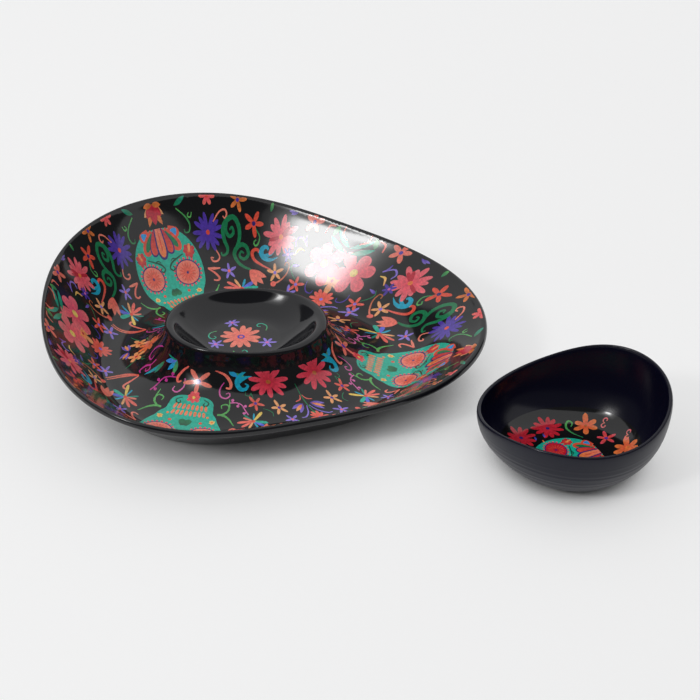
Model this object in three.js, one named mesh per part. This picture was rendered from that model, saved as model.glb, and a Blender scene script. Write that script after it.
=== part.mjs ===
// Chip and dip server: a wavy-rimmed tray with a raised dip well moulded in its floor, and a small
// matching bowl that stands beside it. Both are one-piece melamine mouldings, each with a printed
// foil fused into a shallow recess of its upper face. Millimetres, +Z up.
import * as THREE from 'three';

// ---- driving dimensions: tray ------------------------------------------------------------------
const RIM_RADIUS = 181.2;         // mean radius of the tray's rim, measured from the well's axis
const RIM_DRIFT = [10.1, 59.4];   // the rim's outline: [amplitude, direction in degrees] of its
const RIM_OVAL = [11.7, -5.6];    // shift, of its ovalness,
const RIM_LOBES = [14.6, -1.4];   // of its three lobes
const RIM_CORNERS = [1.4, -4.5];  // and of its four faint corners
const RIM_TILT = [18.4, 130.6];   // the rim stands highest at the back left
const LIP_RADIUS = 62;            // mean outer radius of the dip well's lip
const LIP_DRIFT = [2.6, 8];
const LIP_OVAL = [9, 0];
const WAVE_START = 128;           // radius where the wall begins to follow the rim's wave
const TRAY_SEGMENTS = 48;

// ---- driving dimensions: small bowl ------------------------------------------------------------
const BOWL_CENTRE = [274.3, -132.3];  // from the well's axis
const BOWL_RADIUS = 74.4;
const BOWL_HEIGHT = 57;
const BOWL_DRIFT = [1.1, 24];
const BOWL_OVAL = [3.8, -8.8];
const BOWL_LOBES = [2.3, 27.6];
const BOWL_TILT = [11.2, 17.5];
const BOWL_SADDLE = [6.9, 53.5];  // the rim also rises at two opposite sides
const BOWL_WAVE_START = 4;        // height where the wall begins to follow the rim's wave
const BOWL_SEGMENTS = 40;

// ---- printed foils -----------------------------------------------------------------------------
const FOIL = 0.4;                 // foil thickness
const RECESS = 0.7;               // depth of the recess that takes it
const EDGE_GAP = 0.3;             // gap all round the foil's edge

// ---- sections ----------------------------------------------------------------------------------
// Control points [radius, height] of a smooth curve: the tray's upper face, from the well's axis
// over the lip, down the flank, along the channel and up the wall to the rim's outer edge.
const TRAY_TOP = [
  [0, 32], [15, 32], [28, 32], [36, 33], [44, 37.5], [50.5, 43.5], [54.5, 48.4], [57, 51.2],
  [60.4, 51.2], [62.3, 48.6], [62.8, 44.6], [64.4, 39], [67.6, 32], [72.8, 24.6], [79.8, 17.4],
  [88.4, 11.4], [98.5, 7.4], [109.4, 5.5], [118.7, 5.3], [127.5, 7.2], [136, 14.4],
  [147.1, 27], [158.2, 39.4], [167.3, 49.4], [172.9, 55.4], [175.7, 59], [177.6, 61.4],
  [180.2, 61.4], [180.9, 57.8],
];
// The tray's lower face, from the rim down to the foot ring, and from the ring in to the axis.
const TRAY_WALL = [
  [180, 56], [174.9, 52], [166.1, 42.9], [155.4, 31], [144.6, 19], [135.8, 9.6], [131, 4.2],
];
const TRAY_FOOT = [[127.4, 0.9], [126, 0], [120.4, 0], [119, 1.6]];
const TRAY_UNDER = [
  [109.4, 2], [98.4, 4], [87, 8.2], [76.8, 14.8], [69.2, 22.8], [64, 30.8], [60.8, 38], [57, 42.8],
  [52, 40.6], [45.6, 34.6], [37, 29.8], [28, 28.6], [14, 28.6],
];
const WELL_PRINT_EDGE = 31;       // the well's foil covers its flat floor
const TRAY_PRINT_START = 66.4;    // the tray's foil starts below the lip's plain black band
const TRAY_PRINT_END = 177.7;     // and ends on the rim's crest

const BOWL_TOP = [
  [0, 4.8], [12.5, 4.8], [25, 4.8], [36, 5], [45, 6.3], [53, 10.6], [59.7, 18], [64.8, 25.9],
  [67.9, 33.7], [69.7, 41.4], [70.4, 48.5], [70.7, 54], [71.3, 57.6], [73.8, 57.6], [74.7, 54.4],
];
const BOWL_WALL = [
  [74.4, 48.5], [73.6, 41.4], [71.8, 33.3], [68.4, 24.8], [63, 16.5], [55.6, 8.7], [48.3, 3.8],
];
const BOWL_FOOT = [[42.4, 1], [40.4, 0], [35.6, 0], [34.2, 1.4]];
const BOWL_UNDER = [[22, 1.6], [10, 1.6]];
const BOWL_PRINT_EDGE = 56;       // the bowl's foil ends part way up its wall

// ---- curves ------------------------------------------------------------------------------------
class SmoothCurve extends THREE.Curve {   // uniform cubic B-spline, level where it meets the axis
  constructor(points) {
    super();
    this.points = points;
    this.spans = points.length - 1;
  }
  control(i) {
    const p = this.points;
    if (i < 0) return [-p[1][0], p[1][1]];
    if (i > this.spans) return [2 * p[this.spans][0] - p[this.spans - 1][0],
      2 * p[this.spans][1] - p[this.spans - 1][1]];
    return p[i];
  }
  getPoint(u, target = new THREE.Vector2()) {
    const x = Math.min(u * this.spans, this.spans - 1e-9);
    const i = Math.floor(x);
    const t = x - i;
    const weights = [(1 - t) ** 3, 3 * t ** 3 - 6 * t ** 2 + 4,
      -3 * t ** 3 + 3 * t ** 2 + 3 * t + 1, t ** 3];
    target.set(0, 0);
    weights.forEach((w, k) => {
      const c = this.control(i - 1 + k);
      target.x += w * c[0] / 6;
      target.y += w * c[1] / 6;
    });
    return target;
  }
}

// the curve's parameter where it passes a radius, searched between two parameters
function parameterAt(curve, radius, low, high) {
  for (let k = 0; k < 50; k++) {
    const mid = (low + high) / 2;
    if (curve.getPoint(mid).x < radius) low = mid;
    else high = mid;
  }
  return (low + high) / 2;
}

// a point on the curve, sunk below the surface by a depth along the normal
function sunk(curve, u, depth) {
  const p = curve.getPoint(u);
  const a = curve.getPoint(Math.max(u - 1e-4, 0));
  const b = curve.getPoint(Math.min(u + 1e-4, 1));
  const t = b.clone().sub(a).normalize();
  return new THREE.Vector2(p.x < 1e-6 ? 0 : p.x + t.y * depth, p.y - t.x * depth);
}

function sample(curve, from, to, count, depth = 0) {
  const out = [];
  for (let k = 0; k <= count; k++) out.push(sunk(curve, from + (to - from) * k / count, depth));
  return out;
}

// the closed section of a foil lying on a stretch of the curve
function foilSection(curve, from, to, count) {
  return [...sample(curve, from, to, count), ...sample(curve, from, to, count, FOIL).reverse()];
}

const vectors = (points) => points.map((p) => new THREE.Vector2(p[0], p[1]));
const degrees = (d) => d * Math.PI / 180;

// the sum of a round outline's shift, ovalness, lobes and so on in one direction
function outline(mean, waves, angle) {
  return waves.reduce((sum, [size, where], k) => (
    sum + size * Math.cos((k + 1) * (angle - degrees(where)))), mean);
}

// ---- from round section to wavy form -----------------------------------------------------------
function trayForm(r, z, angle) {
  const lip = outline(LIP_RADIUS, [LIP_DRIFT, LIP_OVAL], angle);
  const rim = outline(RIM_RADIUS, [RIM_DRIFT, RIM_OVAL, RIM_LOBES, RIM_CORNERS], angle);
  const wave = RIM_TILT[0] * Math.cos(angle - degrees(RIM_TILT[1]));
  if (r <= LIP_RADIUS) {
    return [r * (1 + (lip / LIP_RADIUS - 1) * (r / LIP_RADIUS) ** 2), z];
  }
  const across = (r - LIP_RADIUS) / (RIM_RADIUS - LIP_RADIUS);
  const rise = Math.max(r - WAVE_START, 0) / (RIM_RADIUS - WAVE_START);
  return [lip + across * (rim - lip), z + wave * rise ** 2];
}

function bowlForm(r, z, angle) {
  const rim = outline(BOWL_RADIUS, [BOWL_DRIFT, BOWL_OVAL, BOWL_LOBES], angle);
  const wave = BOWL_TILT[0] * Math.cos(angle - degrees(BOWL_TILT[1]))
    + BOWL_SADDLE[0] * Math.cos(2 * (angle - degrees(BOWL_SADDLE[1])));
  const rise = Math.max(z - BOWL_WAVE_START, 0) / (BOWL_HEIGHT - BOWL_WAVE_START);
  return [r * (1 + (rim / BOWL_RADIUS - 1) * r / BOWL_RADIUS), z + wave * rise ** 1.2];
}

// Turns a section about the axis, welds the seam, and bends the result to its wavy form.
function mould(section, segments, form) {
  const closed = section[0].x > 0;
  const profile = closed ? [...section, section[0].clone()] : section;
  const turned = new THREE.LatheGeometry(profile, segments);
  const position = turned.attributes.position;
  const rows = profile.length;
  const index = [];
  const slot = (i) => {
    let column = Math.floor(i / rows) % segments;
    let row = i % rows;
    if (closed && row === rows - 1) row = 0;
    if (profile[row].x < 1e-9) column = 0;
    return column * rows + row;
  };
  for (let k = 0; k < turned.index.count; k += 3) {
    const [a, b, c] = [0, 1, 2].map((j) => slot(turned.index.getX(k + j)));
    if (a !== b && b !== c && c !== a) index.push(a, b, c);
  }
  const used = [...new Set(index)];
  const renumber = new Map(used.map((v, i) => [v, i]));
  const points = used.flatMap((v) => {
    const x = position.getX(v);
    const y = -position.getZ(v);
    const angle = Math.atan2(y, x);
    const [r, z] = form(Math.hypot(x, y), position.getY(v), angle);
    return [r * Math.cos(angle), r * Math.sin(angle), z];
  });
  const geometry = new THREE.BufferGeometry();
  geometry.setAttribute('position', new THREE.Float32BufferAttribute(points, 3));
  geometry.setIndex(index.map((v) => renumber.get(v)));
  const volume = signedVolume(geometry);
  if (volume < 0) geometry.setIndex(index.map((v) => renumber.get(v)).reverse());
  geometry.computeVertexNormals();
  return geometry;
}

function signedVolume(geometry) {
  const p = geometry.attributes.position;
  const [a, b, c] = [new THREE.Vector3(), new THREE.Vector3(), new THREE.Vector3()];
  let sum = 0;
  for (let k = 0; k < geometry.index.count; k += 3) {
    a.fromBufferAttribute(p, geometry.index.getX(k));
    b.fromBufferAttribute(p, geometry.index.getX(k + 1));
    c.fromBufferAttribute(p, geometry.index.getX(k + 2));
    sum += a.dot(b.cross(c)) / 6;
  }
  return sum;
}

function piece(name, geometry, colour, roughness) {
  const material = new THREE.MeshStandardMaterial({ color: colour, roughness, metalness: 0 });
  const mesh = new THREE.Mesh(geometry, material);
  mesh.name = name;
  return mesh;
}

// ---- tray --------------------------------------------------------------------------------------
const trayTop = new SmoothCurve(TRAY_TOP);
const lipCrest = 8 / trayTop.spans;
const wellEdge = parameterAt(trayTop, WELL_PRINT_EDGE, 0, lipCrest);
const printStart = parameterAt(trayTop, TRAY_PRINT_START, 11 / trayTop.spans, 0.9);
const printEnd = parameterAt(trayTop, TRAY_PRINT_END, 0.88, 26.6 / trayTop.spans);
// parameter step that clears a foil's edge by the gap
const step = (curve, u) => EDGE_GAP * 2e-3 / curve.getPoint(u + 1e-3).distanceTo(
  curve.getPoint(u - 1e-3));

const traySection = [
  ...sample(trayTop, 0, wellEdge + step(trayTop, wellEdge), 2, RECESS),
  ...sample(trayTop, wellEdge + step(trayTop, wellEdge), lipCrest, 6),
  ...sample(trayTop, lipCrest, printStart - step(trayTop, printStart), 5).slice(1),
  ...sample(trayTop, printStart - step(trayTop, printStart), printEnd + step(trayTop, printEnd),
    15, RECESS),
  ...sample(trayTop, printEnd + step(trayTop, printEnd), 1, 3),
  ...vectors(TRAY_WALL),
  ...vectors(TRAY_FOOT),
  ...vectors(TRAY_UNDER),
  new THREE.Vector2(0, TRAY_UNDER[TRAY_UNDER.length - 1][1]),
];
const wellFoilSection = foilSection(trayTop, 0, wellEdge, 2);
const trayFoilSection = foilSection(trayTop, printStart, printEnd, 15);

// ---- small bowl --------------------------------------------------------------------------------
const bowlTop = new SmoothCurve(BOWL_TOP);
const bowlEdge = parameterAt(bowlTop, BOWL_PRINT_EDGE, 0, 0.7);
const bowlSection = [
  ...sample(bowlTop, 0, bowlEdge + step(bowlTop, bowlEdge), 6, RECESS),
  ...sample(bowlTop, bowlEdge + step(bowlTop, bowlEdge), 1, 9),
  ...vectors(BOWL_WALL),
  ...vectors(BOWL_FOOT),
  ...vectors(BOWL_UNDER),
  new THREE.Vector2(0, BOWL_UNDER[BOWL_UNDER.length - 1][1]),
];
const bowlFoilSection = foilSection(bowlTop, 0, bowlEdge, 6);

// ---- the set -----------------------------------------------------------------------------------
const serverBody = piece('server_body', mould(traySection, TRAY_SEGMENTS, trayForm), 0x14151a, 0.25);
const trayFoil = piece('tray_print_foil', mould(trayFoilSection, TRAY_SEGMENTS, trayForm),
  0x7a3038, 0.15);
const wellFoil = piece('well_print_foil', mould(wellFoilSection, TRAY_SEGMENTS, trayForm),
  0x5a3a70, 0.15);
const bowlBody = piece('dip_bowl_body', mould(bowlSection, BOWL_SEGMENTS, bowlForm), 0x15161f, 0.3);
const bowlFoil = piece('dip_bowl_print_foil', mould(bowlFoilSection, BOWL_SEGMENTS, bowlForm),
  0x2a6a60, 0.15);
for (const mesh of [bowlBody, bowlFoil]) {
  mesh.geometry.translate(BOWL_CENTRE[0], BOWL_CENTRE[1], 0);
}

const server = new THREE.Group();
server.name = 'chip_and_dip_server';
server.add(serverBody, trayFoil, wellFoil, bowlBody, bowlFoil);

// The set's frame: origin at the bottom centre of its bounding box.
const box = new THREE.Box3().setFromObject(server);
const middle = box.getCenter(new THREE.Vector3());
for (const mesh of server.children) mesh.geometry.translate(-middle.x, -middle.y, -box.min.z);

export default server;
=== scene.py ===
"""Chip and dip server: smooth glazed bodies and their printed foils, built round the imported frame."""
import math
import bpy
import numpy as np
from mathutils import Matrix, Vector
from mathutils.geometry import delaunay_2d_cdt


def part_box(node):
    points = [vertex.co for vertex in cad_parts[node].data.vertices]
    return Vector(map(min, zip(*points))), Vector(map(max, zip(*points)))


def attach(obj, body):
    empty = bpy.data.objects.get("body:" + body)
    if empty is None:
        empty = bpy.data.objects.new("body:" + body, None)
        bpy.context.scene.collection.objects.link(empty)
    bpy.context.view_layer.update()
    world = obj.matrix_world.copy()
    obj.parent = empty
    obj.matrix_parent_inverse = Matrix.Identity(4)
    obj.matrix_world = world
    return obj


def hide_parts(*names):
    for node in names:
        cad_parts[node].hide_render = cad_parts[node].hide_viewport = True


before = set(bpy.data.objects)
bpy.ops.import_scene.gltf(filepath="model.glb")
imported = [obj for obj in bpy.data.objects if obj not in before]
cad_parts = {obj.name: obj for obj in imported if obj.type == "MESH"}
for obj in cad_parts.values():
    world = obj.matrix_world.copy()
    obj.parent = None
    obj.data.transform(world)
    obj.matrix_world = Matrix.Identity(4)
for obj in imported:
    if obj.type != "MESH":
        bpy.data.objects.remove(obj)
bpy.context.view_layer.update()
MM = 0.001

# ---- form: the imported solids' own dimensions, in millimetres from the well's axis ----------------
RIM_RADIUS = 181.2
RIM_WAVES = [(10.1, 59.4), (11.7, -5.6), (14.6, -1.4), (1.4, -4.5)]
RIM_TILT = (18.4, 130.6)
LIP_RADIUS = 62
LIP_WAVES = [(2.6, 8), (9, 0)]
WAVE_START = 128
BOWL_CENTRE, BOWL_RADIUS, BOWL_HEIGHT = (274.3, -132.3), 74.4, 57
BOWL_WAVES = [(1.1, 24), (3.8, -8.8), (2.3, 27.6)]
BOWL_TILT, BOWL_SADDLE, BOWL_WAVE_START = (11.2, 17.5), (6.9, 53.5), 4

TRAY_TOP = [
    (0, 32), (15, 32), (28, 32), (36, 33), (44, 37.5), (50.5, 43.5), (54.5, 48.4), (57, 51.2),
    (60.4, 51.2), (62.3, 48.6), (62.8, 44.6), (64.4, 39), (67.6, 32), (72.8, 24.6), (79.8, 17.4),
    (88.4, 11.4), (98.5, 7.4), (109.4, 5.5), (118.7, 5.3), (127.5, 7.2), (136, 14.4),
    (147.1, 27), (158.2, 39.4), (167.3, 49.4), (172.9, 55.4), (175.7, 59), (177.6, 61.4),
    (180.2, 61.4), (180.9, 57.8)]
TRAY_LOW = [
    (180, 56), (174.9, 52), (166.1, 42.9), (155.4, 31), (144.6, 19), (135.8, 9.6), (131, 4.2),
    (127.4, 0.9), (126, 0), (126, 0), (120.4, 0), (120.4, 0), (119, 1.6), (109.4, 2), (98.4, 4),
    (87, 8.2), (76.8, 14.8), (69.2, 22.8), (64, 30.8), (60.8, 38), (57, 42.8), (52, 40.6),
    (45.6, 34.6), (37, 29.8), (28, 28.6), (14, 28.6), (0, 28.6)]
BOWL_TOP = [
    (0, 4.8), (12.5, 4.8), (25, 4.8), (36, 5), (45, 6.3), (53, 10.6), (59.7, 18), (64.8, 25.9),
    (67.9, 33.7), (69.7, 41.4), (70.4, 48.5), (70.7, 54), (71.3, 57.6), (73.8, 57.6), (74.7, 54.4)]
BOWL_LOW = [
    (74.4, 48.5), (73.6, 41.4), (71.8, 33.3), (68.4, 24.8), (63, 16.5), (55.6, 8.7), (48.3, 3.8),
    (42.4, 1), (40.4, 0), (40.4, 0), (35.6, 0), (35.6, 0), (34.2, 1.4), (22, 1.6), (10, 1.6),
    (0, 1.6)]
FOIL, RECESS = 0.4, 0.5  # the recess is shallower than the solids': smooth faces need less clearance


class Section:
    """A smooth curve through the section's control points, from the axis round to the axis."""

    def __init__(self, points):
        p = np.array(points, float)
        mirror = np.array([-1.0, 1.0])
        self.controls = np.vstack([p[1] * mirror, p, p[-2] * mirror])
        self.spans = len(p) - 1

    def at(self, u, depth=0.0):
        x = np.clip(np.asarray(u, float), 0, self.spans - 1e-9)
        i = np.floor(x).astype(int)
        t = (x - i)[..., None]
        w = ((1 - t) ** 3, 3 * t ** 3 - 6 * t ** 2 + 4, -3 * t ** 3 + 3 * t ** 2 + 3 * t + 1, t ** 3)
        s = (-(1 - t) ** 2, 3 * t ** 2 - 4 * t, -3 * t ** 2 + 2 * t + 1, t ** 2)
        point = sum(w[k] * self.controls[i + k] for k in range(4)) / 6
        slope = sum(s[k] * self.controls[i + k] for k in range(4))
        slope /= np.linalg.norm(slope, axis=-1, keepdims=True)
        d = np.asarray(depth, float)
        r = np.where(point[..., 0] < 1e-6, 0, point[..., 0] + slope[..., 1] * d)
        return r, point[..., 1] - slope[..., 0] * d

    def where(self, radius, low, high):
        """The parameter at which the curve passes a radius."""
        u = np.linspace(low, high, 4001)
        return np.interp(radius, self.at(u)[0], u)


def outline(mean, waves, angle):
    """A round outline's radius in one direction: its mean and its shift, ovalness, lobes and so on."""
    return mean + sum(size * np.cos((k + 1) * (angle - math.radians(where)))
                      for k, (size, where) in enumerate(waves))


def tray_form(r, z, angle):
    lip = outline(LIP_RADIUS, LIP_WAVES, angle)
    rim = outline(RIM_RADIUS, RIM_WAVES, angle)
    wave = RIM_TILT[0] * np.cos(angle - math.radians(RIM_TILT[1]))
    inner = r * (1 + (lip / LIP_RADIUS - 1) * (r / LIP_RADIUS) ** 2)
    outer = lip + (r - LIP_RADIUS) / (RIM_RADIUS - LIP_RADIUS) * (rim - lip)
    reach = np.where(r <= LIP_RADIUS, inner, outer)
    rise = np.maximum(r - WAVE_START, 0) / (RIM_RADIUS - WAVE_START)
    return np.stack([reach * np.cos(angle), reach * np.sin(angle), z + wave * rise ** 2], -1)


def bowl_form(r, z, angle):
    rim = outline(BOWL_RADIUS, BOWL_WAVES, angle)
    wave = (BOWL_TILT[0] * np.cos(angle - math.radians(BOWL_TILT[1]))
            + BOWL_SADDLE[0] * np.cos(2 * (angle - math.radians(BOWL_SADDLE[1]))))
    rise = np.maximum(z - BOWL_WAVE_START, 0) / (BOWL_HEIGHT - BOWL_WAVE_START)
    reach = r * (1 + (rim / BOWL_RADIUS - 1) * r / BOWL_RADIUS)
    return np.stack([BOWL_CENTRE[0] + reach * np.cos(angle),
                     BOWL_CENTRE[1] + reach * np.sin(angle), z + wave * rise ** 1.2], -1)


tray = Section(TRAY_TOP + TRAY_LOW)
bowl = Section(BOWL_TOP + BOWL_LOW)
WELL_EDGE = tray.where(31, 0, 8)
PRINT_START, PRINT_END = tray.where(66.4, 11, 20), tray.where(177.7, 20, 26.6)
BOWL_EDGE = bowl.where(56, 0, 9)


def frame_shift():
    """From the well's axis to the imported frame, found from the tray's box."""
    ring = np.linspace(0, 2 * math.pi, 720)
    u = np.linspace(24, 30, 60)
    r, z = tray.at(u)
    p = tray_form(r[:, None], z[:, None], ring[None, :]).reshape(-1, 3)
    low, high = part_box("server_body")
    middle = (np.array(low) + np.array(high)) / 2 / MM
    return np.array([*(middle[:2] - (p.min(0) + p.max(0))[:2] / 2), 0.0])


SHIFT = frame_shift()


# ---- meshes --------------------------------------------------------------------------------------
def new_object(name, points, faces, normals=None, sharp=None):
    mesh = bpy.data.meshes.new(name)
    mesh.from_pydata(((points + SHIFT) * MM).tolist(), [], faces)
    mesh.validate()
    mesh.shade_smooth()
    if sharp is not None:
        mesh.set_sharp_from_angle(angle=math.radians(sharp))
    if normals is not None:
        mesh.normals_split_custom_set_from_vertices(normals.tolist())
    obj = bpy.data.objects.new(name, mesh)
    bpy.context.scene.collection.objects.link(obj)
    return obj


def moulding(name, section, form, stretches, segments, satin_from):
    """A turned body bent to its form. stretches are (from, to, rows, depth below the surface)."""
    r, z, satin = [], [], []
    for start, end, rows, depth in stretches:
        u = np.linspace(start, end, rows + 1)
        a, b = section.at(u, depth(u) if callable(depth) else depth)
        r.extend(a)
        z.extend(b)
        satin.extend(np.clip((u - satin_from) / 0.6, 0, 1))
    r, z = np.array(r), np.array(z)
    ring = np.arange(segments) * 2 * math.pi / segments
    rows = form(r[1:-1, None], z[1:-1, None], ring[None, :])
    count = len(r) - 2
    ends = form(r[[0, -1]], z[[0, -1]], np.zeros(2))
    points = np.vstack([rows.reshape(-1, 3), ends])
    faces = []
    for i in range(count - 1):
        for k in range(segments):
            n = (k + 1) % segments
            faces.append((i * segments + k, (i + 1) * segments + k, (i + 1) * segments + n,
                          i * segments + n))
    first, last = count * segments, count * segments + 1
    for k in range(segments):
        n = (k + 1) % segments
        faces.append((first, k, n))
        faces.append((last, (count - 1) * segments + n, (count - 1) * segments + k))
    obj = new_object(name, points, faces, sharp=50)
    layer = obj.data.attributes.new("satin", "FLOAT", "POINT")
    layer.data.foreach_set("value", np.concatenate([np.repeat(satin[1:-1], segments),
                                                    [satin[0], satin[-1]]]))
    return obj


def surface(section, form, u, angle, depth=0.0):
    """Points and outward normals of the upper face."""
    point = form(*section.at(u, depth), angle)
    e = 1e-3
    across = form(*section.at(u + e), angle) - form(*section.at(u - e), angle)
    around = form(*section.at(u), angle + e) - form(*section.at(u), angle - e)
    normal = np.cross(across, around)
    length = np.linalg.norm(normal, axis=-1, keepdims=True)
    normal = np.where(length > 1e-9, normal / np.maximum(length, 1e-9), (0, 0, 1))
    return point, normal


def throwing_rings(u):
    """Depth of the faint uneven rings round the small bowl's outer wall."""
    wall = np.clip((u - RINGS_FROM) / 1.2, 0, 1) * np.clip((RINGS_TO - u) / 1.0, 0, 1)
    return 0.07 * wall * (np.sin(9.4 * u) + 0.45 * np.sin(14.9 * u + 1))


RINGS_FROM, RINGS_TO = 15.4, 20.6
server_body = moulding("server_body_glazed", tray, tray_form, [
    (0, WELL_EDGE, 14, RECESS), (WELL_EDGE, PRINT_START, 66, 0),
    (PRINT_START, PRINT_END, 84, RECESS), (PRINT_END, tray.spans, 150, 0)], 180, satin_from=27.4)
bowl_body = moulding("dip_bowl_body_glazed", bowl, bowl_form, [
    (0, BOWL_EDGE, 40, RECESS), (BOWL_EDGE, RINGS_FROM, 50, 0),
    (RINGS_FROM, RINGS_TO, 110, throwing_rings), (RINGS_TO, bowl.spans, 60, 0)], 160, satin_from=13.2)


# ---- printed artwork -----------------------------------------------------------------------------
def colour(code):
    """Linear colour of a printed ink."""
    c = [int(code[i:i + 2], 16) / 255 for i in (0, 2, 4)]
    return np.array([v / 12.92 if v <= 0.04045 else ((v + 0.055) / 1.055) ** 2.4 for v in c])


INK = {name: colour(code) for name, code in {
    "black": "0a0a0d", "coral": "f26d60", "salmon": "f0846f", "flame": "e2503a",
    "crimson": "c02238", "rose": "ea4a60", "ruby": "cc1f30", "pink": "ef7079", "orange": "f0813f",
    "peach": "f4ad72", "yellow": "f0cf62", "violet": "4f35a4", "lilac": "8e78dc", "navy": "2b2470",
    "teal": "1ab399", "jade": "0f8d76", "green": "127a4c", "leaf": "58ac58", "forest": "0e4a34",
    "turquoise": "0fa6c6", "sky": "2c9ce0", "blue": "5a68dc", "magenta": "c43692",
    "orchid": "dd6bb0", "brown": "b5622f"}.items()}


class Art:
    """Painted shapes in order, each one an outline with an inner and an outer ink."""

    def __init__(self):
        self.shapes = []
        self.stack = [(0j, 1 + 0j)]

    def at(self, x, y, turn=0.0, scale=1.0):
        origin, spin = self.stack[-1]
        self.stack.append((origin + spin * complex(x, y), spin * scale * np.exp(1j * math.radians(turn))))
        return self

    def __enter__(self):
        return self

    def __exit__(self, *error):
        self.stack.pop()

    def shape(self, points, inner, outer=None, origin=(0, 0), reach=10.0):
        o, spin = self.stack[-1]
        p = o + spin * np.array([complex(*q) for q in points])
        q = np.stack([p.real, p.imag], 1)
        if np.sum(q[:, 0] * np.roll(q[:, 1], -1) - q[:, 1] * np.roll(q[:, 0], -1)) < 0:
            q = q[::-1]
        c = o + spin * complex(*origin)
        self.shapes.append((q, INK[inner], INK[outer or inner], np.array([c.real, c.imag]),
                            reach * abs(spin)))


def disc(art, radius, ink, tip=None, sides=14, squash=1.0):
    turns = [2 * math.pi * k / sides for k in range(sides)]
    art.shape([(radius * math.cos(t), squash * radius * math.sin(t)) for t in turns], ink, tip,
              reach=radius)


def petal(art, length, width, ink, tip=None, start=0.0, neck=0.4, swell=0.66):
    """A finger along +x: a narrow foot, widest at its swell, then a round tip."""
    side = []
    for k in range(9):
        s = math.sin(math.pi * k / 16)
        w = neck + (1 - neck) * math.sin(math.pi / 2 * min(s / swell, 1))
        w *= math.sqrt(max(0, 1 - (max(s - swell, 0) / (1 - swell)) ** 2))
        side.append((start + length * s, w * width / 2))
    art.shape(side + [(x, -w) for x, w in reversed(side[:-1])], ink, tip, origin=(start, 0),
              reach=start + length)


def leaf(art, length, width, ink, tip=None, bend=0.0):
    """A pointed leaf along +x, bent sideways by bend at its tip."""
    side = [(length * s, width / 2 * math.sin(math.pi * s) ** 0.8, bend * s * s)
            for s in (k / 7 for k in range(8))]
    art.shape([(x, w + b) for x, w, b in side] + [(x, b - w) for x, w, b in reversed(side[1:-1])],
              ink, tip, reach=length)


def stroke(art, points, widths, ink, tip=None):
    """A brush stroke through the points, its width following the list of widths."""
    p = [complex(*q) for q in points]
    p = [2 * p[0] - p[1], *p, 2 * p[-1] - p[-2]]
    line = []
    for a, b, c, d in zip(p, p[1:], p[2:], p[3:]):
        for t in (0, 0.25, 0.5, 0.75):
            line.append(b + 0.5 * t * (c - a + t * (2 * a - 5 * b + 4 * c - d + t * (3 * (b - c) + d - a))))
    line.append(p[-2])
    left, right = [], []
    for k, q in enumerate(line):
        along = line[min(k + 1, len(line) - 1)] - line[max(k - 1, 0)]
        w = np.interp(k / (len(line) - 1), np.linspace(0, 1, len(widths)), widths) / 2
        left.append(q + 1j * w * along / abs(along))
        right.append(q - 1j * w * along / abs(along))
    art.shape([(q.real, q.imag) for q in left + right[::-1]], ink, tip, origin=points[0],
              reach=max(abs(q - line[0]) for q in line))


def curl(art, size, hand, ink, tip):
    """A small open spiral that starts at the origin."""
    turns = [(math.radians(40 * k), size * (1 - k / 12)) for k in range(9)]
    stroke(art, [(size - r * math.cos(a), hand * r * math.sin(a)) for a, r in turns], (0.6, 1.1, 0.7),
           ink, tip)


def flower(art, petals, radius, width, ink, tip, core, core_size, neck=0.4, uneven=0.07, swell=0.66):
    """A ring of petals round a core, each of them a little different."""
    for k in range(petals):
        with art.at(0, 0, 360 * k / petals + 4 * math.sin(k * 1.9 + radius)):
            petal(art, radius * (1 + uneven * math.sin(k * 2.7 + radius)), width, ink, tip, neck=neck,
                  swell=swell)
    disc(art, core_size, core, sides=10)


def star(art, radius, width, ink, core, petals=5, tip=None):
    """A small open flower with slim petals."""
    flower(art, petals, radius, width, ink, tip, core, radius * 0.19, neck=0.3, uneven=0.09, swell=0.5)


def burst(art, size):
    """A spray of rays in many inks."""
    for angle, reach, width, ink in (
            (162, 0.72, 0.12, "turquoise"), (8, 0.72, 0.14, "turquoise"), (215, 0.86, 0.14, "jade"),
            (45, 0.85, 0.25, "blue"), (72, 1.0, 0.26, "teal"), (132, 1.08, 0.22, "yellow"),
            (318, 0.78, 0.16, "peach"), (232, 0.75, 0.15, "salmon"), (263, 1.1, 0.21, "coral"),
            (289, 1.0, 0.2, "coral")):
        with art.at(0, 0, angle):
            petal(art, size * reach, size * width, ink, neck=0.3, swell=0.72)
    disc(art, size * 0.13, "flame", sides=8)


def tulip(art, size, width):
    for turn, reach in ((-19, 0.95), (19, 0.9), (0, 1.0)):
        with art.at(0, 0, turn):
            leaf(art, size * reach, width, "coral", "salmon", bend=turn * 0.05)


def bell(art, size):
    """A hanging bell: two lilac petals with a peach one between them."""
    for side in (-1, 1):
        with art.at(0, 0, side * 23):
            leaf(art, size, size * 0.27, "violet", "lilac", bend=-side * 1.5)
    with art.at(size * 0.1, 0):
        leaf(art, size * 0.88, size * 0.24, "orange", "peach")


def barbed(art, points, ink):
    """A thin vine with a round bud on a short stalk at each of its inner points."""
    stroke(art, points, (1.1, 1.1), ink)
    for k, (a, b) in enumerate(zip(points, points[1:])):
        middle = (complex(*a) + complex(*b)) / 2
        along = complex(*b) - complex(*a)
        bud = middle + 1j * (-1) ** k * 2.6 * along / abs(along)
        stroke(art, [(middle.real, middle.imag), (bud.real, bud.imag)], (1.0, 1.0), ink)
        with art.at(bud.real, bud.imag):
            disc(art, 1.5, ink, sides=8)


def mirrored(points):
    return points + [(x, -y) for x, y in reversed(points)]


def rounded(points, passes=2):
    """Corner-cut a closed outline."""
    for _ in range(passes):
        out = []
        for a, b in zip(points, points[1:] + points[:1]):
            out.append((0.75 * a[0] + 0.25 * b[0], 0.75 * a[1] + 0.25 * b[1]))
            out.append((0.25 * a[0] + 0.75 * b[0], 0.25 * a[1] + 0.75 * b[1]))
        points = out
    return points


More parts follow.
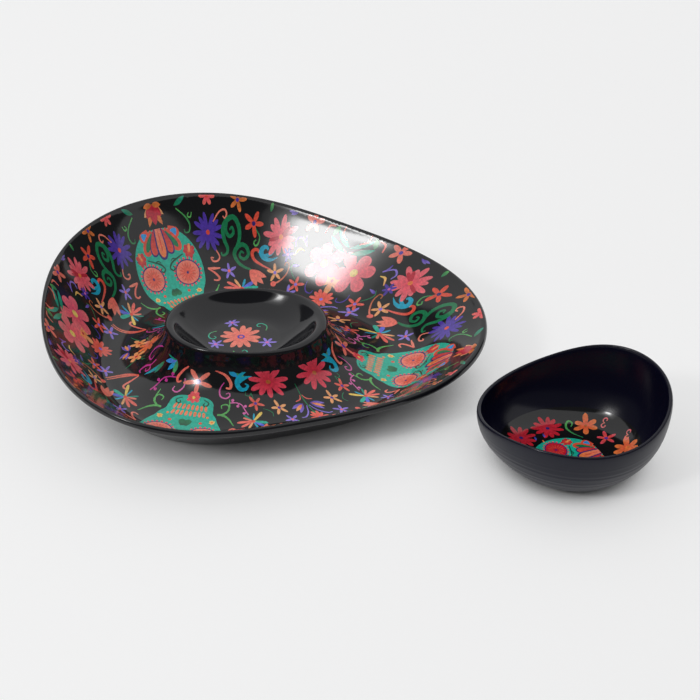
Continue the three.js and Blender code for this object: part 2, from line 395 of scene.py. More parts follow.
def skull(art, eye=("flame", "salmon")):
    """A festive painted skull, chin at the origin and crown 78 along +x."""
    art.shape(rounded(mirrored([
        (0, 4), (0.5, 12), (4, 17.5), (10, 18.8), (15.5, 19.5), (19, 23.5), (24.5, 25.5), (28, 28),
        (34, 31.5), (46, 33.5), (58, 31.5), (67, 26.5), (74, 18.5), (77.5, 8)])),
        "teal", "teal", origin=(50, 0), reach=46)
    for side in (-1, 1):
        # jaw: a scroll at each side of the chin's flower
        stroke(art, [(2.5, side * 9), (5, side * 13.5), (8.5, side * 12), (7.5, side * 9.5),
                     (5.5, side * 10.5)], (0.8, 1.5, 0.8), "forest")
        # cheekbone
        with art.at(25, side * 21.5):
            flower(art, 6, 2.6, 1.7, "peach", "yellow", "orange", 1.1)
        with art.at(27.5, side * 12.5):
            disc(art, 1.5, "flame", sides=8)
        with art.at(20, side * 16.5):
            disc(art, 1.2, "orange", sides=8)
        # nose
        with art.at(32.5, side * 1.2, 180 - side * 14):
            petal(art, 8, 5.6, "forest", "green")
        # eye
        with art.at(42.5, side * 17.5):
            for k in range(20):
                a = math.pi * k / 10
                with art.at(10.6 * math.cos(a), 12.4 * math.sin(a)):
                    disc(art, 1.1, "rose", sides=6)
            disc(art, 9.9, "navy", sides=24, squash=1.18)
            disc(art, 9.0, *eye, sides=24, squash=1.18)
            for k in range(16):
                with art.at(0, 0, 22.5 * k):
                    petal(art, 5.2, 0.7, "flame", start=2.6)
            disc(art, 1.1, "navy", sides=8)
        # brow
        stroke(art, [(56.5, side * 18), (54.5, side * 11.5), (52.2, side * 5.5), (48.6, side * 2.6),
                     (46.4, side * 5), (48, side * 7), (49.6, side * 5.6)], (0.9, 1.5, 1.2, 0.8), "forest")
        stroke(art, [(54.2, side * 10.5), (55, side * 7.5), (53.6, side * 5)], (0.8, 1.0, 0.7), "forest")
        for x, y in ((56, 31), (61, 29)):
            with art.at(x, side * y * 0.94):
                disc(art, 0.8, "navy", sides=6)
        # forehead: a fan of petals spread from the crown, and a small flower at each temple
        with art.at(57.5, side * 24.5, side * 20):
            flower(art, 7, 5.4, 3.6, "flame", "crimson", "orange", 1.3)
            petal(art, 5.2, 2.4, "peach", "orange")
        with art.at(75.5, side * 10, 180 - side * 66):
            petal(art, 11, 7.5, "flame", neck=0.8)
            petal(art, 6, 6, "sky", start=2.5, neck=0.2, swell=0.8)
        with art.at(76, side * 6, 180 - side * 37):
            petal(art, 20, 9.5, "flame", "flame", neck=0.5)
            petal(art, 15.5, 4.6, "green", start=1.5, neck=0.3)
        with art.at(77, side * 2.5, 180 - side * 21):
            petal(art, 20, 9.4, "navy", neck=0.4)
            petal(art, 18.6, 7.6, "crimson", "flame", neck=0.5)
    with art.at(77.5, 0, 180):
        petal(art, 22.5, 10.5, "navy", neck=0.75)
        petal(art, 20.6, 7.4, "salmon", "orange", neck=0.75)
        petal(art, 15, 1.2, "flame", start=2)
    # teeth: two rows of short bars
    for x in (8.6, 15.2):
        for k in range(8):
            y = (k - 3.5) * 3.5
            lean = 1.2 * (k - 3.5) / 3.5
            art.shape(rounded([(x, y - 1.2), (x + 5.4, y - 1.2 + lean), (x + 5.4, y + 1.1 + lean),
                               (x, y + 1.1)], 1), "orange", "salmon", origin=(x, y), reach=6)
    # chin
    with art.at(1.5, 0):
        flower(art, 7, 5.6, 3.4, "flame", "rose", "yellow", 1.3)


def art_scale():
    """Art radius for each radius of the tray's printed face: between plan and true distance."""
    u = np.linspace(PRINT_START, PRINT_END, 1200)
    r, z = tray.at(u)
    along = np.hypot(np.diff(r), np.diff(z))
    share = np.interp((r[1:] + r[:-1]) / 2, (75, 115, 150), (0.62, 0.5, 0.2))
    step = share * along + (1 - share) * np.diff(r)
    return u, r, 68 + np.concatenate([[0], np.cumsum(step)])


ART_U, ART_R, ART_A = art_scale()


def paint_flank(art):
    """Round the well's lip, under a skull's chin and beside it."""
    stroke(art, [(63.8, -23.9), (69.6, -17.6), (77.9, -15.0), (83.1, -16.6), (82, -20.2)],
           (1.2, 2.8, 2.6, 1.6), "coral", "salmon")
    stroke(art, [(76.3, -20.2), (82, -25.4), (88.3, -26.5), (91.8, -22.8), (90.4, -18.7), (87.3, -18.7),
                 (87.8, -21.6)], (0.8, 1.4, 1.2, 0.8), "magenta", "orchid")
    with art.at(68.5, -11.5, 62):
        leaf(art, 11, 3.4, "jade", "leaf")
    with art.at(66, -14, 40):
        leaf(art, 9, 4.6, "turquoise", "sky")
    stroke(art, [(72.7, 4), (74.6, -3), (78.4, -8.3)], (0.6, 4.0, 3.6), "turquoise")
    stroke(art, [(66.5, 0), (72.5, -6.5), (79.5, -9.6), (85.4, -7.9), (86.2, -3.4), (82.8, -0.6),
                 (80.4, -2.8)], (1.6, 4.4, 4.4, 2.6, 1.2), "turquoise")
    with art.at(77.9, 18.3, 9):
        flower(art, 10, 18.2, 5.6, "crimson", "rose", "brown", 2.2, uneven=0.05)
    with art.at(106.5, 26.6, 57):
        star(art, 9.2, 3.2, "peach", "violet")
    with art.at(101.8, 3.4, 69):
        star(art, 8.3, 2.9, "flame", "violet", tip="coral")
    stroke(art, [(89.3, -3.6), (92.5, -4.3), (93.2, -0.6), (90.6, 1), (96.6, 2.2)], (0.6, 0.9), "green")
    stroke(art, [(108.1, 9.5), (110.2, 14.7), (113.8, 18.3), (118.5, 17.8)], (0.6, 1.0, 0.7), "green")
    barbed(art, [(97.1, -20.8), (98.4, -14.5), (101.5, -10.2), (107, -8.6), (113.8, -6.7)], "orchid")
    # bell flowers along the line between two skulls
    stroke(art, [(74, 43), (88, 51), (101, 58.5), (114, 66)], (1.0, 1.8, 1.0), "green")
    stroke(art, [(86.2, 48.5), (91.5, 48.6), (95.6, 44.4)], (0.8, 1.4, 0.8), "coral")
    stroke(art, [(97.7, 54.8), (108.1, 55.3), (116.4, 51.8), (118.7, 47)], (0.8, 1.7, 1.0), "lilac")
    with art.at(96.4, 51, -31):
        bell(art, 15)
    with art.at(104, 60.2, -4):
        leaf(art, 9, 2.4, "green", "leaf")


def paint_flank_rear(art):
    """The same band where two skulls stand closest, on the far side from the dish's point."""
    with art.at(73.6, 42.5, 4):
        flower(art, 9, 12.5, 4.6, "flame", "orange", "brown", 1.8)
    with art.at(90, 38, 40):
        flower(art, 5, 8, 4.4, "orange", "peach", "crimson", 1.5)
    stroke(art, [(66.5, 2), (71.6, 15.7), (76.8, 20.9), (82, 19.3), (82.6, 13.6), (78.4, 12.6)],
           (0.9, 1.8, 1.6, 1.0), "magenta")
    stroke(art, [(78.9, 6.3), (85.2, 8.4), (89.3, 13.6), (95.6, 14.7), (97, 11.5)],
           (1.0, 2.0, 1.0), "magenta")
    stroke(art, [(86, 9), (88.5, 6), (92.5, 8), (90.5, 10.5)], (0.8, 1.4, 0.8), "magenta")
    for lift in (0, -2.6):
        stroke(art, [(99.2, 10.5), (106, 19.9 + lift), (115.4, 25.1 + lift), (126.8, 27.6 + lift)],
               (1.4, 2.2, 1.0), "flame", "salmon")
    stroke(art, [(99.2, 9.8), (108.1, 10), (116.4, 9.5), (117.4, 5.2), (113, 4.6)],
           (1.2, 2.3, 2.0, 1.2), "coral", "salmon")
    with art.at(74.8, -5.1, 25):
        leaf(art, 23.5, 3.2, "jade", "turquoise", bend=1.5)
        leaf(art, 13, 4, "green", "jade", bend=-3)
    for angle, ink, tip in ((10, "turquoise", "sky"), (48, "blue", "sky"), (-22, "jade", "leaf"),
                            (84, "green", "teal")):
        with art.at(66.5, -15.5, angle):
            leaf(art, 12, 3.8, ink, tip, bend=1)
    stroke(art, [(64, -26), (70, -24.4), (77, -24.3), (80, -27), (77.5, -29)], (1.2, 2.4, 1.2), "coral")
    stroke(art, [(74, -30), (80, -34), (87, -33), (88, -28.5), (84.5, -27.8)], (0.8, 1.4, 0.8),
           "orchid")
    barbed(art, [(78, -23), (81.5, -17.5), (86, -14), (93, -13.5), (101, -12.8)], "magenta")
    stroke(art, [(85.6, 24), (88, 27), (86.5, 30), (84, 28.5)], (0.7, 1.1, 0.7), "green")
    stroke(art, [(90, 33.5), (98, 31.5), (104.5, 29.5)], (0.6, 1.2, 0.6), "green")
    with art.at(92, 52, -38):
        bell(art, 12)


def paint_channel(art):
    """The floor of the chip channel."""
    stroke(art, [(106, -34), (108.1, -29.6), (114.3, -25.8), (123.5, -24.2)], (2.0, 2.4, 1.6, 0.7),
           "leaf")
    stroke(art, [(107.5, -31), (105.4, -24.6), (100, -21.2), (93.8, -19.6)], (1.8, 1.8, 1.4, 0.6),
           "leaf")
    stroke(art, [(104.6, -22.4), (98.6, -22.6), (97.6, -27.6), (101, -28.6)], (0.9, 1.4, 0.8), "leaf")
    with art.at(122.7, -4.1):
        burst(art, 14.5)
    with art.at(122.7, 36.5, -1):
        star(art, 8.2, 2.8, "lilac", "pink")
    with art.at(114.3, 66, 30):
        flower(art, 11, 10.6, 3.4, "flame", "coral", "lilac", 1.6)
    with art.at(131.4, 42.8, 88):
        star(art, 7.4, 2.6, "flame", "lilac", tip="coral")
    stroke(art, [(135.6, 42), (140.4, 39.1), (145.6, 37.6), (148.9, 40.6)], (0.6, 1.0, 0.6), "green")
    stroke(art, [(124.8, 58.5), (122.2, 56.2), (124.4, 52.5), (129.2, 51.6), (133.6, 53.4)],
           (0.6, 1.2, 0.6), "violet")
    with art.at(129.5, 75, 13):
        flower(art, 7, 10, 4.6, "orange", "peach", "crimson", 1.5)


def paint_wall(art):
    """The sloping wall, from the channel to the rim."""
    with art.at(137, -17.2, 50):
        star(art, 6.8, 2.2, "lilac", "coral")
    stroke(art, [(126.8, -29.4), (127.3, -25.8), (129.8, -24.7), (132.7, -29), (134.7, -35.6)],
           (1.0, 1.8, 1.8, 1.2), "salmon", "coral")
    stroke(art, [(134.9, -35.8), (136, -30.3), (137.6, -25)], (0.8, 2.2, 0.9), "salmon")
    stroke(art, [(143.9, -31.6), (143.5, -33.9), (141.4, -32), (142.3, -28.3), (146, -26.8),
                 (151, -31.4)], (0.9, 1.4, 1.4, 0.9), "salmon")
    with art.at(160.6, -39.5, 6):
        flower(art, 13, 13.6, 3.3, "violet", "violet", "flame", 1.8, neck=0.55)
    stroke(art, [(168.9, -36.2), (176.8, -32.4), (179.8, -27.8), (177.3, -25.3), (173.9, -26.2),
                 (174.8, -28.5)], (0.9, 1.5, 1.4, 0.9), "salmon")
    # a tulip on a big double scroll
    with art.at(141.1, 0.5, 127):
        tulip(art, 17, 5.2)
    stroke(art, [(153.5, -13.4), (162.7, -11.4), (171, -13.4), (176, -18.7), (173.5, -23.9),
                 (166.8, -26.8), (159.3, -24.7), (153.5, -20.6), (149.3, -21.2), (147.5, -24.5),
                 (149.6, -25.8)], (2.6, 3.4, 3.8, 3.2, 2.0, 1.0), "green")
    stroke(art, [(171, -24.6), (165.2, -24), (162.2, -20.3), (165.2, -17.2), (169, -19.1),
                 (166.6, -20.9)], (2.6, 2.8, 2.2, 1.2), "green")
    stroke(art, [(141.4, 1.5), (142.5, -4.5), (145.2, -10.3), (150.2, -14.2), (155.2, -13), (158.5, -8.7),
                 (157.2, -4.1), (152.2, -2), (148.4, -5.3), (149.9, -9.4), (153.4, -8.6), (152.8, -6)],
           (1.4, 2.6, 3.4, 3.2, 2.6, 2.0, 1.2), "green", "green")
    with art.at(141.1, 23.3, 63):
        star(art, 7.6, 2.6, "peach", "lilac")
    stroke(art, [(143.4, 19.3), (145.6, 11.9), (149.2, 3.8), (153.6, 1.3), (156.6, 3.1), (156.6, 6.4),
                 (154.8, 6.8)], (0.8, 2.0, 3.0, 2.4, 1.2), "coral", "flame")
    stroke(art, [(131.6, 22), (134.5, 28.1), (141.1, 34.3), (147.8, 35.6), (149.2, 32.7), (146.7, 31.6)],
           (1.6, 1.2, 1.0, 0.8), "salmon", "brown")
    with art.at(131.6, 22.6):
        disc(art, 2.5, "coral", sides=10)
    stroke(art, [(153.3, 12.4), (154.8, 18), (158.3, 21.6)], (2.4, 2.6, 0.6), "turquoise")
    stroke(art, [(152.9, 24.6), (150.6, 18.5), (151.6, 12.4), (155.1, 9.3), (158.8, 10.8), (159.5, 14.1),
                 (157.7, 15.4)], (0.5, 3.4, 4.4, 3.0, 1.6), "turquoise")
    with art.at(167.6, 25.9, 4):
        flower(art, 12, 14.6, 4.4, "rose", "pink", "orange", 1.9, uneven=0.14)
        for angle in (40, 62, 250):
            with art.at(0, 0, angle):
                petal(art, 11, 3, "crimson", "crimson")
        disc(art, 1.9, "orange", sides=9)
    with art.at(174.6, -0.2, 18):
        flower(art, 5, 9.4, 3.7, "flame", "flame", "navy", 1.7, uneven=0.1, swell=0.55)
    stroke(art, [(171.3, 2.3), (166.1, 6.4), (161, 5.6), (159.5, 3.4), (161.7, 1.8), (163.7, 3.6)],
           (0.8, 1.3, 1.0), "green", "leaf")
    with art.at(155.2, 33.8, 20):
        star(art, 5.6, 2.2, "violet", "orchid", petals=6)
    with art.at(146.5, 45.5, -88):
        petal(art, 6.5, 2.4, "lilac", "violet", neck=0.1)
    stroke(art, [(157.4, 49), (158.8, 44.5), (154.6, 39.8)], (0.7, 2.0, 0.9), "yellow", "peach")
    stroke(art, [(163, 49.5), (167.5, 45.2), (165.5, 40.5), (160.8, 40.6)], (0.8, 1.6, 0.8), "lilac")
    stroke(art, [(160.5, 51), (164, 49.4), (168.6, 50.2)], (0.8, 2.0, 0.8), "lilac", "violet")
    with art.at(145.4, 67.4, 12):
        flower(art, 6, 17.5, 10.2, "rose", "pink", "yellow", 3.2, neck=0.1, uneven=0.1, swell=0.7)
    for x, y, angle, ink, tip in ((150.5, 84, -42, "green", "teal"), (153, 88, -34, "jade", "teal"),
                                  (166, 73, 36, "green", "leaf")):
        with art.at(x, y, angle):
            leaf(art, 20 if angle < 0 else 9, 4.4, ink, tip, bend=1.5)


def paint_rim(art):
    """Sprigs along the rim, some of them cut by it."""
    with art.at(178.2, 55.6, 86):
        flower(art, 5, 9, 4, "coral", "salmon", "violet", 1.6, swell=0.55)
    for x, y, angle in ((184, 33, 80), (186.4, 31, 100)):
        with art.at(x, y, angle):
            leaf(art, 7, 2, "lilac", "violet")
    with art.at(188.5, -17.4, 150):
        flower(art, 5, 8.4, 3.2, "brown", "orange", "violet", 1.5, swell=0.55)
    with art.at(185.4, -45.4, 76):
        flower(art, 6, 7, 3.2, "rose", "coral", "flame", 1.3)
    with art.at(184.5, 14, 10):
        leaf(art, 8, 3, "green", "leaf")
    stroke(art, [(156.8, -60.8), (154.8, -59.1), (156.8, -56), (161.8, -56.6), (166, -62), (168.9, -71.2)],
           (0.7, 1.1, 1.4, 1.0), "green", "leaf")
    stroke(art, [(170.6, -56.4), (166.8, -56.8), (166.8, -59.5), (169.6, -59.1)], (0.7, 1.3, 0.7), "leaf")
    with art.at(170, -73.5, 44):
        leaf(art, 13, 4, "green", "jade", bend=-1.5)
    for points in ([(160, 85.5), (166, 82), (171, 84.5)], [(169, 66), (174, 70), (173, 75.5)]):
        stroke(art, points, (0.9, 1.9, 0.8), "coral", "salmon")


def hanging_flower(art):
    """The flower that hangs from the rim over each skull."""
    for angle, reach, width, ink in (
            (50, 13, 4.6, "peach"), (-50, 13, 4.6, "peach"), (24, 17, 5, "orange"),
            (-24, 17, 5, "orange"), (40, 12, 6, "crimson"), (-40, 12, 6, "crimson"),
            (0, 15, 7.6, "crimson"), (82, 9, 4.4, "orange"), (-82, 9, 4.4, "orange")):
        with art.at(0, 0, 180 + angle):
            leaf(art, reach, width, "crimson" if ink == "crimson" else "brown", ink)


def tray_art(rear):
    """One sixth of the tray's artwork, from a skull's middle line to the line between two skulls.

    x runs out from the well's axis along the middle of the sixth.
    """
    art = Art()
    with art.at(0, 0, 30):
        if rear:
            paint_flank_rear(art)
        else:
            paint_flank(art)
        paint_channel(art)
        paint_wall(art)
        paint_rim(art)
    with art.at(80.2, 0):
        flower(art, 5, 12.2, 3.9, "coral", "salmon", "violet", 2.3, uneven=0.0, swell=0.55)
    with art.at(93.5, 0):
        skull(art)
    with art.at(188.5, 0):
        hanging_flower(art)
    return art


def well_art():
    """One large flower with small stars and curls round it."""
    art = Art()
    with art.at(-2.5, 2):
        flower(art, 12, 17.8, 5.2, "coral", "salmon", "violet", 3.4, uneven=0.04)
        disc(art, 1.7, "coral", sides=8)
        for angle in (112, 209, 339):
            with art.at(0, 0, angle):
                with art.at(24.5, 0, 20):
                    star(art, 7.4, 2.4, "lilac", "orchid", petals=6)
            with art.at(0, 0, angle + 66):
                stroke(art, [(22, -8), (27, -4), (27.5, 2), (24, 4.5), (21.5, 2), (23.5, 0)],
                       (0.7, 1.1, 0.8), "leaf", "teal")
    return art


def bowl_art():
    """A skull across the floor, with flowers and curls mirrored on both sides of it."""
    art = Art()
    for side in (1, -1):
        for x, y, petals, radius in ((-15, 35.5, 11, 13.2), (-37, 20.5, 10, 12.8)):
            with art.at(x, side * y, 25):
                flower(art, petals, radius, 4, "crimson", "ruby", "navy", 1.7)
        for x, y in ((18, 38.5), (46, 5)):
            with art.at(x, side * y, 25):
                flower(art, 6, 11, 4.8, "flame", "orange", "brown", 1.5, uneven=0.12)
        with art.at(32, side * 20.5, 92):
            star(art, 8.2, 3, "flame", "violet", tip="rose")
        stroke(art, [(14, side * 23), (5.5, side * 30), (0.8, side * 38), (3, side * 45), (6.6, side * 43),
                     (5.4, side * 38.6)], (0.8, 1.8, 1.8, 1.0), "green", "leaf")
        for x, y in ((31.5, 41), (47, 22)):
            for hand in (1, -1):
                with art.at(x + 2, side * (y - 4), side * 60 + 90 * (1 - hand)):
                    curl(art, 2.6, hand, "salmon", "pink")
        stroke(art, [(-20.5, side * 8), (-18.5, side * 14), (-20, side * 19)], (0.8, 1.8, 0.8), "orange")
        for x, y in ((-25, 18.5), (-18, 23)):
            with art.at(x, side * y, 105):
                leaf(art, 5.5, 1.8, "blue", "navy")
    with art.at(-38.9, -24.1, 24, 0.9):
        skull(art, eye=("crimson", "ruby"))
    return art


# How the flat printed sheet settles on the dish: degrees that it turns by at the rim and at the lip,
# and its outward stretch as a share, each with its size and direction, once and twice round.
TURN_AT_RIM = [(9.6, 245.5), (7.4, 98)]
TURN_AT_LIP = [(5.6, -2.7), (6.5, 110)]
STRETCH = [(0.355, 120), (0.087, -12)]
LIP_PULL = (1.6, 100)  # it is also drawn outward close to the lip, on one side only


def settled(radius, angle):
    """Where a point of the flat sheet comes to lie: its radius before bending, and its angle."""
    r = np.interp(radius, ART_A, ART_R)
    s = (r - ART_R[0]) / (ART_R[-1] - ART_R[0])
    turn = s * outline(0, TURN_AT_RIM, angle) + (1 - s) * outline(0, TURN_AT_LIP, angle)
    pull = LIP_PULL[0] * np.maximum(np.cos(angle - math.radians(LIP_PULL[1])), 0) ** 2
    s = s + s * (1 - s) * outline(0, STRETCH, angle) + s * (1 - s) ** 5 * pull
    return ART_R[0] + s * (ART_R[-1] - ART_R[0]), angle + np.radians(turn)


def painted_sheet(art, border, spacing, keep, extra=()):
    """Triangles of the artwork inside a border, with the ink of the topmost shape at each corner.

    Mesh points are added on a grid wherever keep allows them, and at the extra places.
    """
    points, faces = [], []

    def loop(poly):
        first = len(points)
        points.extend((float(x), float(y)) for x, y in poly)
        faces.append(list(range(first, len(points))))

    loop(border)
    for shape in art.shapes:
        loop(shape[0])
    low, high = np.min(border, 0), np.max(border, 0)
    row = 0
    y = low[1]
    while y < high[1]:
        x = low[0] + (spacing / 2 if row % 2 else 0)
        while x < high[0]:
            if keep(x, y, spacing * 0.3):
                points.append((x, y))
            x += spacing
        y += spacing * 0.866
        row += 1
    points.extend(extra)
    out, _, tris, _, _, owners = delaunay_2d_cdt([Vector(p) for p in points], [], faces, 0, 1e-4)
    out = np.array([(v.x, v.y) for v in out])
    kept, inks = [], []
    for tri, owner in zip(tris, owners):
        if 0 not in owner or len(tri) != 3:
            continue
        p = out[list(tri)]
        area = (p[1][0] - p[0][0]) * (p[2][1] - p[0][1]) - (p[2][0] - p[0][0]) * (p[1][1] - p[0][1])
        if abs(area) < 1e-5:
            continue
        top = max(owner)
        if top == 0:
            ink = np.tile(INK["black"], (3, 1))
        else:
            _, inner, outer, centre, reach = art.shapes[top - 1]
            s = np.clip(np.linalg.norm(p - centre, axis=1) / reach, 0, 1)[:, None]
            ink = inner + (outer - inner) * s
        if area < 0:
            tri, ink = tri[::-1], ink[::-1]
        kept.append(tuple(tri))
        inks.append(ink)
    return out, kept, np.array(inks)


def foil(name, flat, faces, inks, to_surface):
    """A closed thin foil: the painted upper face, a plain lower face, and walls round its edges."""
    top, normal = to_surface(flat, 0.0)
    below, _ = to_surface(flat, FOIL)
    count = len(flat)
    edges = {}
    for tri in faces:
        for k in range(3):
            a, b = tri[k], tri[(k + 1) % 3]
            if (b, a) in edges:
                del edges[(b, a)]
            else:
                edges[(a, b)] = True
    used = np.unique(np.array(faces))
    mesh_faces = [tuple(f) for f in faces]
    mesh_faces += [(a + count, c + count, b + count) for a, b, c in faces]
    mesh_faces += [(b, a, a + count, b + count) for a, b in edges]
    points = np.vstack([top, below])
    normals = np.vstack([normal, -normal])
    live = np.zeros(2 * count, bool)
    live[used] = True
    live[used + count] = True
    index = np.cumsum(live) - 1
    mesh_faces = [tuple(int(index[v]) for v in f) for f in mesh_faces]
    obj = new_object(name, points[live], mesh_faces, normals=normals[live])
    mesh = obj.data
    layer = mesh.color_attributes.new("ink", "FLOAT_COLOR", "CORNER")
    values = np.ones((len(mesh.loops), 4), np.float32)
    values[:, :3] = INK["black"]
    values[:len(faces) * 3, :3] = inks.reshape(-1, 3)
    layer.data.foreach_set("color", values.ravel())
    return obj


def tray_print():
    """The tray's foil: six mirrored copies of a painted sixth, welded along their cut edges."""
    low, high = ART_A[0], ART_A[-1]
    arc = np.radians(np.linspace(0, 60, 61))
    cut = np.linspace(high, low, 50)[1:-1, None]
    border = np.vstack([np.stack([high * np.cos(arc), high * np.sin(arc)], 1),
                        cut * (math.cos(arc[-1]), math.sin(arc[-1])),
                        np.stack([low * np.cos(arc[::-1]), low * np.sin(arc[::-1])], 1),
                        cut[::-1] * (1.0, 0.0)])
    # closer rows where the sheet bends, under the rim and round the lip
    extra = [(r * math.cos(a), r * math.sin(a))
             for r in (*(high - np.array([0.8, 1.8, 3, 4.4, 6, 8])), *(low + np.array([1, 2.4, 4.4])))
             for a in np.radians(np.arange(0.5, 60, 1.0))]

    def keep(x, y, margin):
        r, phi = math.hypot(x, y), math.degrees(math.atan2(y, x))
        side = math.degrees(margin / max(r, 1))
        return low + margin < r < high - margin and side < phi < 60 - side

    sheets = {}
    for rear in (False, True):
        flat, faces, inks = painted_sheet(tray_art(rear), border, 4.2, keep, extra)
        radius, phi = np.hypot(flat[:, 0], flat[:, 1]), np.degrees(np.arctan2(flat[:, 1], flat[:, 0]))
        # snap the cut edges, so that the six copies meet exactly
        phi = np.where(np.abs(phi) < 1e-3, 0, np.where(np.abs(phi - 60) < 1e-3, 60, phi))
        sheets[rear] = radius, phi, faces, inks
    all_radius, all_phi, all_faces, all_inks = [], [], [], []
    total = 0
    for axis in (0, 120, 240):
        for side in (1, -1):
            radius, phi, faces, inks = sheets[axis + side * 60 == 180]
            all_radius.append(radius)
            all_phi.append((axis + side * phi) % 360)
            turned = faces if side > 0 else [f[::-1] for f in faces]
            all_faces += [tuple(v + total for v in f) for f in turned]
            all_inks.append(inks if side > 0 else inks[:, ::-1])
            total += len(radius)
    radius, phi = np.concatenate(all_radius), np.concatenate(all_phi)
    # weld the copies along their cut edges
    seen, remap = {}, np.arange(total)
    for v in np.nonzero(phi % 60 == 0)[0]:
        remap[v] = seen.setdefault((round(radius[v], 2), phi[v]), v)
    faces = [tuple(int(remap[v]) for v in f) for f in all_faces]
    whole = np.array([len(set(f)) == 3 for f in faces])
    faces = [f for f, good in zip(faces, whole) if good]
    inks = np.concatenate(all_inks)[whole]

    def to_surface(a, depth):
        r, angle = settled(a[:, 0], np.radians(a[:, 1]))
        return surface(tray, tray_form, np.interp(r, ART_R, ART_U), angle, depth)

    return foil("tray_print", np.stack([radius, phi], 1), faces, inks, to_surface)


def round_print(name, art, section, form, edge):
    """A round foil on a dished floor. Art radius is the distance along the section."""
    u = np.linspace(0, edge, 400)
    r, z = section.at(u)
    along = np.concatenate([[0], np.cumsum(np.hypot(np.diff(r), np.diff(z)))])
    ring = np.radians(np.arange(0, 360, 3))
    border = np.stack([along[-1] * np.cos(ring), along[-1] * np.sin(ring)], 1)
    flat, faces, inks = painted_sheet(art, border, 4,
                                      lambda x, y, m: math.hypot(x, y) < along[-1] - m)

    def to_surface(a, depth):
        radius = np.minimum(np.hypot(a[:, 0], a[:, 1]), along[-1])
        return surface(section, form, np.interp(radius, along, u), np.arctan2(a[:, 1], a[:, 0]), depth)

    return foil(name, flat, faces, inks, to_surface)


tray_foil = tray_print()
well_foil = round_print("well_print", well_art(), tray, tray_form, WELL_EDGE)
bowl_foil = round_print("dip_bowl_print", bowl_art(), bowl, bowl_form, BOWL_EDGE)


# ---- materials -----------------------------------------------------------------------------------
def material(name):
    mat = bpy.data.materials.new(name)
    mat.use_nodes = True
    tree = mat.node_tree
    return mat, tree, tree.nodes["Principled BSDF"]


def node(tree, kind, inputs=None, **settings):
    n = tree.nodes.new(kind)
    for key, value in settings.items():
        setattr(n, key, value)
    for key, value in (inputs or {}).items():
        n.inputs[key].default_value = value
    return n


def orange_peel(tree, shader, scale, strength, distance):
    """The faint waviness of a pressed glaze."""
    where = node(tree, "ShaderNodeTexCoord")
    noise = node(tree, "ShaderNodeTexNoise", {"Scale": scale, "Detail": 2.0, "Roughness": 0.5})
    bump = node(tree, "ShaderNodeBump", {"Strength": strength, "Distance": distance})
    tree.links.new(where.outputs["Object"], noise.inputs["Vector"])
    tree.links.new(noise.outputs["Fac"], bump.inputs["Height"])
    tree.links.new(bump.outputs["Normal"], shader.inputs["Normal"])
    return where


def glaze(name, base, outside, gloss_rough, satin_rough, shine):
    """Glossy inside, duller outside, with a slight cloudiness."""
    mat, tree, shader = material(name)
    where = orange_peel(tree, shader, 60, 0.06, 0.0006)
    cloud = node(tree, "ShaderNodeTexNoise", {"Scale": 25.0, "Detail": 4.0})
    tree.links.new(where.outputs["Object"], cloud.inputs["Vector"])
    satin = node(tree, "ShaderNodeAttribute", attribute_name="satin")
    tone = node(tree, "ShaderNodeMix", data_type="RGBA")
    tone.inputs[6].default_value = (*base, 1)
    tone.inputs[7].default_value = (*outside, 1)
    tree.links.new(satin.outputs["Fac"], tone.inputs[0])
    tree.links.new(tone.outputs[2], shader.inputs["Base Color"])
    mottle = node(tree, "ShaderNodeMapRange", {"From Min": 0.3, "From Max": 0.7, "To Min": -0.02,
                                               "To Max": 0.03})
    tree.links.new(cloud.outputs["Fac"], mottle.inputs["Value"])
    rough = node(tree, "ShaderNodeMath", {1: satin_rough}, operation="MULTIPLY_ADD")
    tree.links.new(satin.outputs["Fac"], rough.inputs[0])
    base_rough = node(tree, "ShaderNodeMath", {1: gloss_rough}, operation="ADD")
    tree.links.new(mottle.outputs["Result"], base_rough.inputs[0])
    tree.links.new(base_rough.outputs[0], rough.inputs[2])
    tree.links.new(rough.outputs[0], shader.inputs["Roughness"])
    shader.inputs["Specular IOR Level"].default_value = shine
    shader.inputs["IOR"].default_value = 1.55
    return mat


def printed(name):
    """Ink under a clear glaze, with a slight unevenness like a brush wash."""
    mat, tree, shader = material(name)
    where = orange_peel(tree, shader, 60, 0.05, 0.0006)
    ink = node(tree, "ShaderNodeVertexColor", layer_name="ink")
    wash = node(tree, "ShaderNodeTexNoise", {"Scale": 420.0, "Detail": 3.0, "Roughness": 0.6})
    tree.links.new(where.outputs["Object"], wash.inputs["Vector"])
    tone = node(tree, "ShaderNodeMapRange", {"From Min": 0.3, "From Max": 0.7, "To Min": 0.8,
                                             "To Max": 1.26})
    tree.links.new(wash.outputs["Fac"], tone.inputs["Value"])
    paint = node(tree, "ShaderNodeVectorMath", operation="SCALE")
    tree.links.new(ink.outputs["Color"], paint.inputs[0])
    tree.links.new(tone.outputs["Result"], paint.inputs["Scale"])
    tree.links.new(paint.outputs["Vector"], shader.inputs["Base Color"])
    shader.inputs["Roughness"].default_value = 0.09
    shader.inputs["IOR"].default_value = 1.55
    return mat


black = glaze("black_glaze", (0.0045, 0.0045, 0.0065), (0.003, 0.003, 0.005), 0.09, 0.14, 0.45)
navy = glaze("navy_glaze", (0.0036, 0.0036, 0.013), (0.0045, 0.0052, 0.015), 0.2, 0.16, 0.28)
print_ink = printed("print_under_glaze")

for piece, mat, body, cad, slot in (
        (server_body, black, "server", "server_body", "black_melamine"),
        (bowl_body, navy, "dip_bowl", "dip_bowl_body", "navy_melamine"),
        (tray_foil, print_ink, "server", "tray_print_foil", "tray_print"),
        (well_foil, print_ink, "server", "well_print_foil", "well_print"),
        (bowl_foil, print_ink, "dip_bowl", "dip_bowl_print_foil", "bowl_print")):
    piece.data.materials.append(mat)
    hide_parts(cad)
    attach(piece, body)

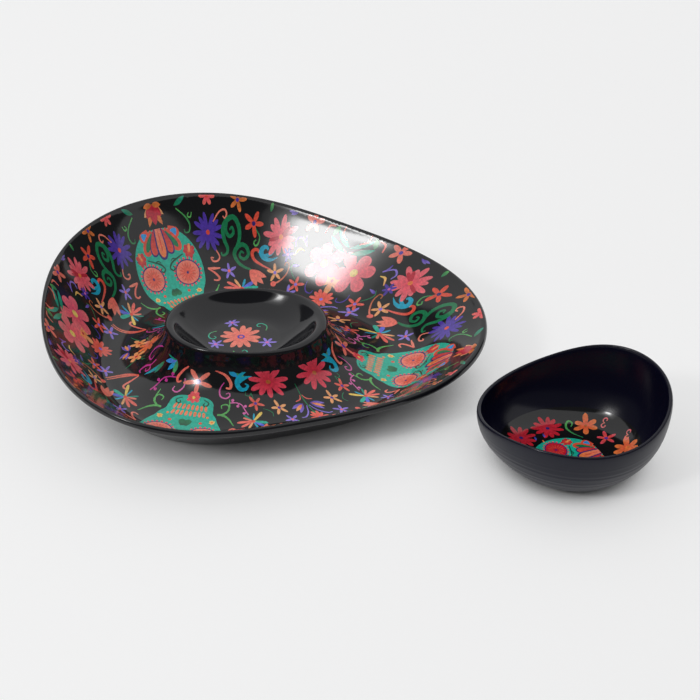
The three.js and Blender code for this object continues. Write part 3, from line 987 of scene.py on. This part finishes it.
# ---- floor, light and camera ---------------------------------------------------------------------
bpy.ops.mesh.primitive_plane_add(size=9, location=(0, 1.5, 0))
floor = bpy.context.object
floor.name = "floor"
mat, tree, shader = material("floor_paper")
shader.inputs["Base Color"].default_value = (0.56, 0.56, 0.56, 1)
shader.inputs["Roughness"].default_value = 0.9
shader.inputs["Specular IOR Level"].default_value = 0.1
shader.inputs["Emission Color"].default_value = (1, 1, 1, 1)
# painted light: the paper glows as if lit by soft bounce light, and the glow fades where a dish overhangs
# it, a painted contact shadow
open_sky = node(tree, "ShaderNodeAmbientOcclusion", {"Distance": 0.085}, samples=12)
painted_shadow_fade = node(tree, "ShaderNodeMapRange", {"From Min": 0.12, "From Max": 0.55},
              interpolation_type="SMOOTHSTEP")
painted_floor_glow = node(tree, "ShaderNodeMath", {1: 0.435}, operation="MULTIPLY")
tree.links.new(open_sky.outputs["AO"], painted_shadow_fade.inputs["Value"])
tree.links.new(painted_shadow_fade.outputs["Result"], painted_floor_glow.inputs[0])
# the painted light and the painted contact shadow both go into the floor's emission
tree.links.new(painted_floor_glow.outputs[0], shader.inputs["Emission Strength"])
floor.data.materials.append(mat)

well = SHIFT * MM


def area_light(name, place, target, size, power):
    data = bpy.data.lights.new(name, "AREA")
    data.shape = "RECTANGLE"
    data.size, data.size_y = size
    data.energy = power
    obj = bpy.data.objects.new(name, data)
    obj.location = place
    obj.rotation_euler = (Vector(target) - Vector(place)).to_track_quat("-Z", "Y").to_euler()
    bpy.context.scene.collection.objects.link(obj)


# a softbox from the front left: stacked squares, each larger and fainter, so that it fades outward
SOFTBOX_PLACE, SOFTBOX_LAYERS = (-2.06, -1.60, 1.92), 6
SOFTBOX_SIZE, SOFTBOX_GROWTH = 0.36, 1.32
SOFTBOX_GLOW, SOFTBOX_FADE = 19, 0.46
for k in range(SOFTBOX_LAYERS):
    size = SOFTBOX_SIZE * SOFTBOX_GROWTH ** k
    area_light("softbox_%d" % k, SOFTBOX_PLACE, (0, 0, 0), (size, size),
               math.pi * size * size * SOFTBOX_GLOW * SOFTBOX_FADE ** k)
area_light("ceiling", (0.3, 0.6, 2.2), (0.3, 0.6, 0), (7.0, 4.8), 74)
area_light("backdrop", (0.3, 3.0, 1.1), (0.3, 0, 1.1), (7.0, 2.2), 30)
world = bpy.data.worlds.new("studio")
world.use_nodes = True
world.node_tree.nodes["Background"].inputs[0].default_value = (0.95, 0.97, 1.0, 1)
world.node_tree.nodes["Background"].inputs[1].default_value = 0.13
bpy.context.scene.world = world
bpy.context.scene.view_settings.view_transform = "Standard"

ELEVATION, DISTANCE, LENS = math.radians(34), 1.5795, 90
AIM = (0.0933, 0.0285)  # from the well's axis, on the table
aim = Vector((well[0] + AIM[0], well[1] + AIM[1], 0))
camera = bpy.data.cameras.new("camera")
camera.lens, camera.sensor_width = LENS, 36
rig = bpy.data.objects.new("camera", camera)
rig.location = aim + Vector((0, -math.cos(ELEVATION), math.sin(ELEVATION))) * DISTANCE
rig.rotation_euler = (math.pi / 2 - ELEVATION, 0, 0)
bpy.context.scene.collection.objects.link(rig)
bpy.context.scene.camera = rig
